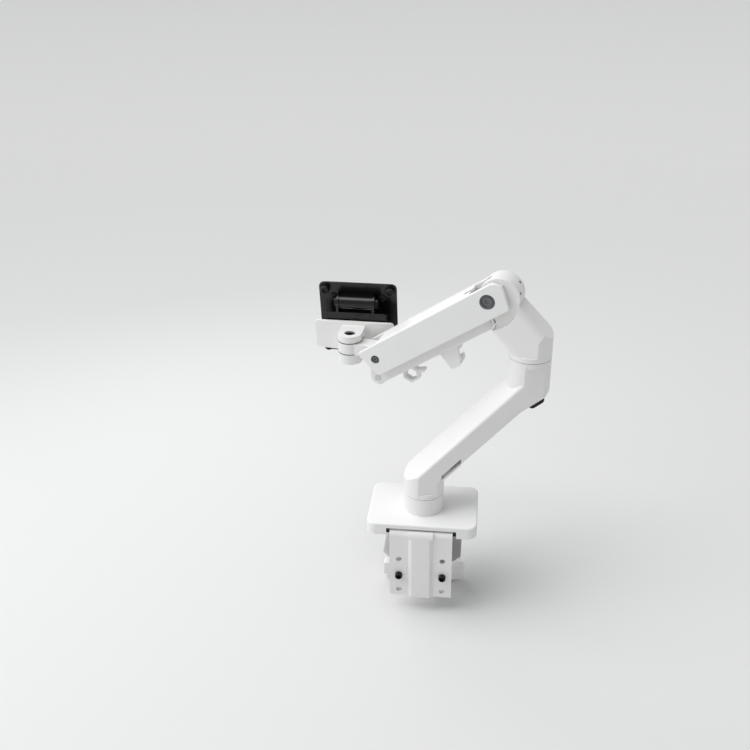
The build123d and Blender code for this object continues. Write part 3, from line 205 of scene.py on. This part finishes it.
# %% The common body of a finish
def finish(name, pale, deep, grain_mm, relief_mm, rough, sheen_mm=60.0, metallic=0.0, coat=0.0):
    """A finish whose colour drifts between two tones and whose grain roughens and lifts it.

    Grain is a noise of the given cell size, relief is the height of its bump, and rough is the
    lowest and highest roughness that the grain reaches."""
    made = bpy.data.materials.new(name)
    made.use_nodes = True
    tree = made.node_tree
    shader = tree.nodes["Principled BSDF"]
    place = add(tree, "ShaderNodeTexCoord").outputs["Object"]
    drift = add(tree, "ShaderNodeTexNoise", {"Vector": place, "Scale": 1.0 / (sheen_mm * mm), "Detail": 2.0})
    grain = add(tree, "ShaderNodeTexNoise", {"Vector": place, "Scale": 1.0 / (grain_mm * mm), "Detail": 3.0})
    tones = {0: drift.outputs["Fac"], 6: linear(pale), 7: linear(deep)}
    tone = add(tree, "ShaderNodeMix", tones, data_type="RGBA")
    tree.links.new(tone.outputs[2], shader.inputs["Base Color"])
    spread = add(
        tree,
        "ShaderNodeMapRange",
        {"Value": grain.outputs["Fac"], "To Min": rough[0], "To Max": rough[1]},
    )
    tree.links.new(spread.outputs["Result"], shader.inputs["Roughness"])
    bump = add(
        tree,
        "ShaderNodeBump",
        {"Height": grain.outputs["Fac"], "Strength": 0.6, "Distance": relief_mm * mm},
    )
    tree.links.new(bump.outputs["Normal"], shader.inputs["Normal"])
    shader.inputs["Metallic"].default_value = metallic
    shader.inputs["Coat Weight"].default_value = coat
    return made


# %% [markdown]
# ### White powder coat on die-cast aluminium
# The castings are sprayed with polyester powder and baked. The film keeps a faint orange peel about
# a millimetre across, which is drawn 2.2 mm across so that it shows, and it is satin, not glossy.

# %% White finishes
white_casting = finish("powder_coated_aluminium", "#F1F1EF", "#E9E9E7", 2.2, 0.10, (0.36, 0.50))
# Bent steel with the same powder: a little flatter, because sheet is smoother than a casting.
white_sheet = finish("powder_coated_sheet_steel", "#EFEFED", "#E6E6E4", 2.6, 0.07, (0.38, 0.50))
# Spark-eroded ABS: the mould leaves an even matt grain, here 1.6 mm instead of 0.2 mm so it shows.
white_plastic = finish("moulded_abs_white", "#F2F2F0", "#EBEBEA", 1.6, 0.06, (0.42, 0.56))
# Dark grey glass-filled nylon of the washers. Its dark grey is partly painted shade: it draws each seam as a thin
# dark line.
grey_plastic = finish("nylon_grey_and_seam_shade", "#4E4F52", "#434447", 1.8, 0.05, (0.50, 0.65))

# %% [markdown]
# ### Black parts of the head, and the hardware
# The head is pressed steel with a satin black electrocoat, which is smooth enough to show long
# highlights. Its screws are black oxide, the clamp's screw is zinc plated and the springs are oiled.

# %% Dark finishes and metals
black_steel = finish("electrocoated_steel_black", "#08080A", "#0E0E10", 2.4, 0.04, (0.16, 0.28))
black_plastic = finish("moulded_abs_black", "#161617", "#1E1E20", 1.6, 0.06, (0.42, 0.55))
black_screw = finish("black_oxide_steel", "#111113", "#1B1B1D", 1.2, 0.03, (0.30, 0.45), metallic=0.4)
dark_pin = finish("phosphated_steel", "#77797C", "#66686B", 1.2, 0.04, (0.34, 0.48), metallic=0.6)
bare_steel = finish("turned_steel", "#D3D4D5", "#C4C5C7", 1.4, 0.03, (0.22, 0.34), metallic=1.0)
zinc = finish("zinc_plated_steel", "#C9CBC8", "#B6B9B8", 3.0, 0.03, (0.26, 0.40), metallic=1.0)
spring_steel = finish("oiled_spring_wire", "#56585B", "#45474A", 1.4, 0.03, (0.24, 0.36), metallic=1.0)
rubber = finish("neoprene_black", "#121212", "#191919", 1.8, 0.10, (0.68, 0.85))
acetal = finish("acetal_natural", "#E4E1D6", "#D9D6CB", 2.0, 0.03, (0.36, 0.46))

finishes = {
    "white_casting": white_casting,
    "white_sheet": white_sheet,
    "white_plastic": white_plastic,
    "grey_plastic": grey_plastic,
    "black_steel": black_steel,
    "black_plastic": black_plastic,
    "black_screw": black_screw,
    "dark_pin": dark_pin,
    "steel": bare_steel,
    "zinc": zinc,
    "spring_steel": spring_steel,
    "rubber": rubber,
    "acetal": acetal,
}
node_slot = {entry["node"]: entry["material_slot"] for entry in record["subparts"]}
node_body = {node: body for body, members in record["behaviour"]["bodies"].items() for node in members}
for name, node in nodes.items():
    node.data.materials.clear()
    node.data.materials.append(finishes[node_slot[name]])
print("finishes", len(finishes), "nodes painted", len(nodes))

# %% [markdown]
# ## Soft edges on the castings
# A construction model has knife edges, and a real casting has none: powder pulls back from a sharp
# corner, so the tool maker rounds it. A copy of the mesh is merged, its flat areas become single
# faces, and a bevel rounds what is left. Weighted normals keep the flats flat.


# %% Rounding a piece's edges
def softened(name, width_mm, steps=3, sharp=32.0):
    """A copy of a CAD node with every edge sharper than the angle rounded to the given width."""
    shape = bmesh.new()
    shape.from_mesh(nodes[name].data)
    bmesh.ops.remove_doubles(shape, verts=shape.verts, dist=3e-6)
    bmesh.ops.dissolve_limit(shape, angle_limit=math.radians(0.6), verts=shape.verts, edges=shape.edges)
    for face in shape.faces:
        face.smooth = True
    mesh = bpy.data.meshes.new(name + "_soft")
    shape.to_mesh(mesh)
    shape.free()
    for layer in ("custom_normal", "sharp_edge", "sharp_face"):
        if layer in mesh.attributes:
            mesh.attributes.remove(mesh.attributes[layer])
    piece = put(name + "_soft", mesh)
    bevel = piece.modifiers.new("rounding", "BEVEL")
    bevel.width = width_mm * mm
    bevel.segments = steps
    bevel.limit_method = "ANGLE"
    bevel.angle_limit = math.radians(sharp)
    bevel.use_clamp_overlap = True
    normals = piece.modifiers.new("normals", "WEIGHTED_NORMAL")
    normals.keep_sharp = True
    piece.data.materials.append(finishes[node_slot[name]])
    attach(piece, node_body[name])
    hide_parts(name)
    return piece


soft_edges = {
    "base_cover": 0.6,
    "post": 0.8,
    "clamp_bracket": 0.8,
    "clamp_jaw": 0.8,
    "clamp_handle": 1.6,
    "lower_arm": 1.0,
    "shoulder_block": 1.0,
    "beam_channel": 0.8,
    "lower_link": 0.8,
    "cable_clip_front": 0.8,
    "cable_clip_rear": 0.8,
    "wrist_block": 0.8,
    "yoke": 1.2,
    "rotor_bracket": 0.8,
    "tilt_barrel": 0.8,
    "vesa_plate": 0.6,
    "side_cover_left": 0.8,
    "side_cover_right": 0.8,
    "lower_strip": 0.5,
    "elbow_grommet": 0.6,
    "pressure_plate": 0.8,
}
for name, width in soft_edges.items():
    softened(name, width)
print("softened", len(soft_edges))

# %% [markdown]
# ### Painted shade inside the lower arm
# The hollow inside the lower arm is painted a dull near-black grey, which is painted shade: it makes
# the cable way dark and the cable slot read as a dark opening. A face belongs to the hollow when its
# middle lies between the side walls, below the top wall, and it is not part of the rim that faces
# downwards.

# %% Dark inside
# Painted shade: a dull, near-black grey with no shine, for the shaded hollow of the lower arm.
painted_shade_inside = finish("hollow_painted_shade", "#242527", "#1B1C1E", 1.8, 0.05, (0.55, 0.70))
elbow_place = np.array(joints["elbow_swivel"]["pos_m"])
arm_along = elbow_place * (1.0, 1.0, 0.0)
arm_along /= np.linalg.norm(arm_along)
arm_across = np.array([-arm_along[1], arm_along[0], 0.0])
top_height, top_slope = 97.7 * mm, math.tan(math.radians(42.3))
soft_arm = bpy.data.objects["lower_arm_soft"].data
soft_arm.materials.append(painted_shade_inside)
hollow_start, hollow_end, hollow_half, top_wall, rim_depth = np.array([31.0, 132.0, 22.4, 5.0, 25.0]) * mm
face_count = len(soft_arm.polygons)
middles, tilts = np.empty(face_count * 3), np.empty(face_count * 3)
soft_arm.polygons.foreach_get("center", middles)
soft_arm.polygons.foreach_get("normal", tilts)
middles, tilts = middles.reshape(-1, 3), tilts.reshape(-1, 3)
along = middles @ arm_along
below_top = top_height + top_slope * along - middles[:, 2]
hollow = (hollow_start < along) & (along < hollow_end) & (below_top > top_wall)
hollow &= np.abs(middles @ arm_across) < hollow_half
hollow &= ~((tilts[:, 2] < -0.6) & (below_top > rim_depth))
# The hollow's faces take the second slot, the painted shade.
soft_arm.polygons.foreach_set("material_index", hollow.astype(np.int32))
print("faces of the hollow", int(hollow.sum()))

# %% [markdown]
# ## Turned pieces
# A lathe makes a solid by turning a profile about an axis: every point is the axis point at its
# height, plus its radius in the direction of the angle. A profile that starts and ends on the axis
# makes a plug, and one that never touches it makes a ring. A ripple in the radius gives a knurl or
# a hexagon.


# %% The lathe
def basis(axis):
    """Three perpendicular unit vectors, the last one along the axis."""
    along = np.array(axis, dtype=float)
    along /= np.linalg.norm(along)
    helper = np.array([0.0, 0.0, 1.0]) if abs(along[2]) < 0.9 else np.array([1.0, 0.0, 0.0])
    first = np.cross(helper, along)
    first /= np.linalg.norm(first)
    return first, np.cross(along, first), along


def lathe(name, profile_mm, place, axis, body, slot, turns=48, ripple=None):
    """Turns a profile of (radius, height) about an axis through a place.

    point = place + r cos(a) * first + r sin(a) * second + h * axis. A profile whose two ends lie on
    the axis closes there in one point each, and any other profile is closed on itself. The ripple
    multiplies the radius by a function of the angle and the radius."""
    radius, height = np.array(profile_mm, dtype=float).T * mm
    plug = radius[0] == 0.0
    ring_r, ring_h = (radius[1:-1, None], height[1:-1]) if plug else (radius[:, None], height)
    angle = np.linspace(0.0, 2.0 * np.pi, turns, endpoint=False)
    rings = ring_r * (ripple(angle[None, :], ring_r) if ripple else np.ones_like(angle))
    first, second, along = basis(axis)
    points = (
        (rings * np.cos(angle))[..., None] * first
        + (rings * np.sin(angle))[..., None] * second
        + ring_h[:, None, None] * along
        + np.array(place)
    ).reshape(-1, 3)
    count = len(ring_h)
    ring = np.arange(turns)
    step = (ring + 1) % turns
    low = (np.arange(count - 1 if plug else count) * turns)[:, None]
    high = (low + turns) % (count * turns)
    faces = np.stack([low + ring, low + step, high + step, high + ring], axis=-1).reshape(-1, 4).tolist()
    if plug:
        points = np.vstack([points, np.array(place) + np.outer([height[0], height[-1]], along)])
        start, end, last = count * turns, count * turns + 1, (count - 1) * turns
        faces += [(start, int(b), int(a)) for a, b in zip(ring, step)]
        faces += [(end, int(last + a), int(last + b)) for a, b in zip(ring, step)]
    mesh = bpy.data.meshes.new(name)
    mesh.from_pydata(points.tolist(), [], faces)
    piece = put(name, mesh)
    shape = bmesh.new()
    shape.from_mesh(mesh)
    bmesh.ops.recalc_face_normals(shape, faces=shape.faces)
    for face in shape.faces:
        face.smooth = True
    shape.to_mesh(mesh)
    shape.free()
    split = piece.modifiers.new("creases", "EDGE_SPLIT")
    split.split_angle = math.radians(40.0)
    mesh.materials.append(finishes[slot])
    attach(piece, body)
    return piece


# %% [markdown]
# ### Screws that hold the display
# The display is held by four knurled screws at the corners of the 100 mm square, each with a thin
# washer, and the inner 75 mm square is plugged with low button heads. They stand on the back of
# the mounting plate, on the side that faces the arm.

# %% Display screws and plugs
plate_centre = np.array(mounts["vesa_100"]["pos_m"])
plate_normal = np.array(mounts["vesa_100"]["axis"])
across = np.array(joints["head_tilt"]["axis"])
across /= np.linalg.norm(across)
upwards = np.cross(plate_normal, across)
upwards *= np.sign(upwards[2])
plate_thickness = 3.0 * mm
plate_back = plate_centre - plate_thickness * plate_normal
knurl = lambda angle, radius: 1.0 + 0.035 * np.cos(20.0 * angle) * (radius > 4.5 * mm)
screw_profile = [
    (0, 0), (8.0, 0), (8.0, 0.9), (7.7, 1.2), (6.0, 1.2), (6.0, 2.0),
    (6.3, 2.4), (6.3, 8.4), (5.6, 9.4), (3.2, 9.4), (3.0, 7.4), (0, 7.4),
]
plug_profile = [(0, 0), (5.2, 0), (5.2, 0.8), (4.6, 2.2), (3.0, 2.9), (2.2, 2.9), (2.1, 1.4), (0, 1.4)]
for half, profile, title in ((50.0, screw_profile, "display_screw"), (37.5, plug_profile, "pattern_plug")):
    for k, (u, v) in enumerate(((-1, -1), (-1, 1), (1, -1), (1, 1))):
        spot = plate_back + half * mm * (u * across + v * upwards)
        lathe(f"{title}_{k}", profile, spot, -plate_normal, "tilt_head", "black_screw", 80, knurl)
print("plate normal", plate_normal, "across", across)

# %% [markdown]
# ### Faces of the pivot pins
# Each pivot pin ends in a turned face: a chamfered rim, a groove, a raised ring and a hexagonal
# socket. The faces sit in the recesses of the side covers, below the covers' surface.

# %% Pin faces
lift_place = np.array(joints["lift"]["pos_m"])
wrist_place = np.array(joints["wrist_level"]["pos_m"])
lift_axis = np.array(joints["lift"]["axis"])
face_reach = 24.7 * mm  # from the arm's middle plane to the head of each pin
pin_profile = np.array(
    [
        (0, -0.3), (9.9, -0.3), (9.9, 1.1), (9.3, 1.7), (8.3, 1.7), (8.0, 1.4), (8.0, 0.2), (6.7, 0.2),
        (6.7, 1.0), (6.4, 1.3), (4.0, 1.3), (3.7, 1.0), (3.5, -0.1), (0, -0.1),
    ]
)


def hexed(limit_mm):
    """A ripple that turns every ring inside the limit into a hexagon with the same corners."""
    def ripple(angle, radius):
        side = np.cos(np.pi / 6) / np.cos(np.mod(angle, np.pi / 3) - np.pi / 6)
        return np.where(radius < limit_mm * mm, side, 1.0)
    return ripple


socket_r = 3.8
for title, centre, share in (("shoulder_pin_face", lift_place, 1.0), ("front_pin_face", wrist_place, 0.57)):
    scaled = pin_profile * (share, 1.0)
    for end, sign in (("a", -1.0), ("b", 1.0)):
        spot = centre + sign * face_reach * lift_axis
        socket = hexed(socket_r * share)
        lathe(f"{title}_{end}", scaled, spot, sign * lift_axis, "spring_arm", "dark_pin", 72, socket)

# %% [markdown]
# ### Washers in the knuckle
# Two nylon washers lie on the wrist's knuckle, above and below. Their dark grey rims are partly
# painted shade: they show as dark lines between the knuckle and the yoke's ears, where the seams lie in shade.

# %% Knuckle washers
pan_place = np.array(joints["wrist_pan"]["pos_m"])
# The washers' dark grey stands in partly for the shade in the seams, as painted shade.
for title, low, high in (("knuckle_washer_high", 12.9, 14.15), ("knuckle_washer_low", -4.55, -3.3)):
    rim = [(9.0, low), (17.65, low), (17.65, high), (9.0, high)]
    lathe(title, rim, pan_place, (0.0, 0.0, 1.0), "wrist", "grey_plastic", 96)

# %% [markdown]
# ### Small screws in the shoulder drum
# Two small socket screws sit in the back of the drum.

# %% Drum screws
forward = (lift_place - elbow_place) * (1.0, 1.0, 0.0)
forward /= np.linalg.norm(forward)
drum_back, drum_up, drum_r = 13.4 * mm, 2.4 * mm, 28.5 * mm
straight_up = np.array([0.0, 0.0, 1.0])
drum_middle = lift_place - drum_back * forward + drum_up * straight_up
stud = [(0, -1.0), (1.9, -1.0), (1.9, 0.15), (1.6, 0.45), (1.1, 0.45), (1.0, -0.5), (0, -0.5)]
for title, degrees, shift in (("drum_screw_high", 38.0, 9.0), ("drum_screw_low", 16.0, -9.0)):
    turn = math.radians(degrees)
    outward = -math.cos(turn) * forward + math.sin(turn) * straight_up
    spot = drum_middle + drum_r * outward + shift * mm * lift_axis
    lathe(title, stud, spot, outward, "shoulder", "black_screw", 36, hexed(1.2))

# %% [markdown]
# ### Thread of the clamp screw
# A thread is a cylinder whose radius rises and falls along the axis and shifts by one pitch per
# turn. On a grid of angle and height that is one formula, so the whole thread is one surface.

# %% Clamp screw thread
turn_place = np.array(joints["clamp_turn"]["pos_m"])
pressure_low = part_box("pressure_plate")[0][2]
handle_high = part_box("clamp_handle")[1][2]
thread_top = float(pressure_low - 0.5 * mm)
thread_low = float(handle_high)
mid_r, thread_rise, pitch = 7.1 * mm, 0.8 * mm, 3.0 * mm
rows_per_pitch, thread_sides = 8, 40
thread_rows = int((thread_top - thread_low) / pitch * rows_per_pitch)
row_height = np.linspace(thread_low, thread_top, thread_rows)[:, None]
row_angle = np.linspace(0.0, 2.0 * np.pi, thread_sides, endpoint=False)[None, :]
phase = (row_height - thread_low) / pitch - row_angle / (2.0 * np.pi)
ridge = 1.0 - np.abs(2.0 * (phase - np.floor(phase)) - 1.0)
run_out = np.clip(np.minimum(row_height - thread_low, thread_top - row_height) / pitch, 0.0, 1.0)
thread_r = mid_r + thread_rise * (ridge - 0.5) * run_out
thread_points = np.stack(
    [
        turn_place[0] + thread_r * np.cos(row_angle),
        turn_place[1] + thread_r * np.sin(row_angle),
        np.broadcast_to(row_height, thread_r.shape),
    ],
    axis=-1,
).reshape(-1, 3)
column = np.arange(thread_sides)
neighbour = (column + 1) % thread_sides
row_start = (np.arange(thread_rows - 1) * thread_sides)[:, None]
thread_quads = np.stack(
    [
        row_start + column,
        row_start + neighbour,
        row_start + thread_sides + neighbour,
        row_start + thread_sides + column,
    ],
    axis=-1,
).reshape(-1, 4)
thread_mesh = bpy.data.meshes.new("clamp_thread")
thread_caps = [column[::-1].tolist(), (column + (thread_rows - 1) * thread_sides).tolist()]
thread_mesh.from_pydata(thread_points.tolist(), [], thread_quads.tolist() + thread_caps)
thread = put("clamp_thread", thread_mesh)
thread_mesh.materials.append(zinc)
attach(thread, "clamp_screw")
print("thread rows", thread_rows)
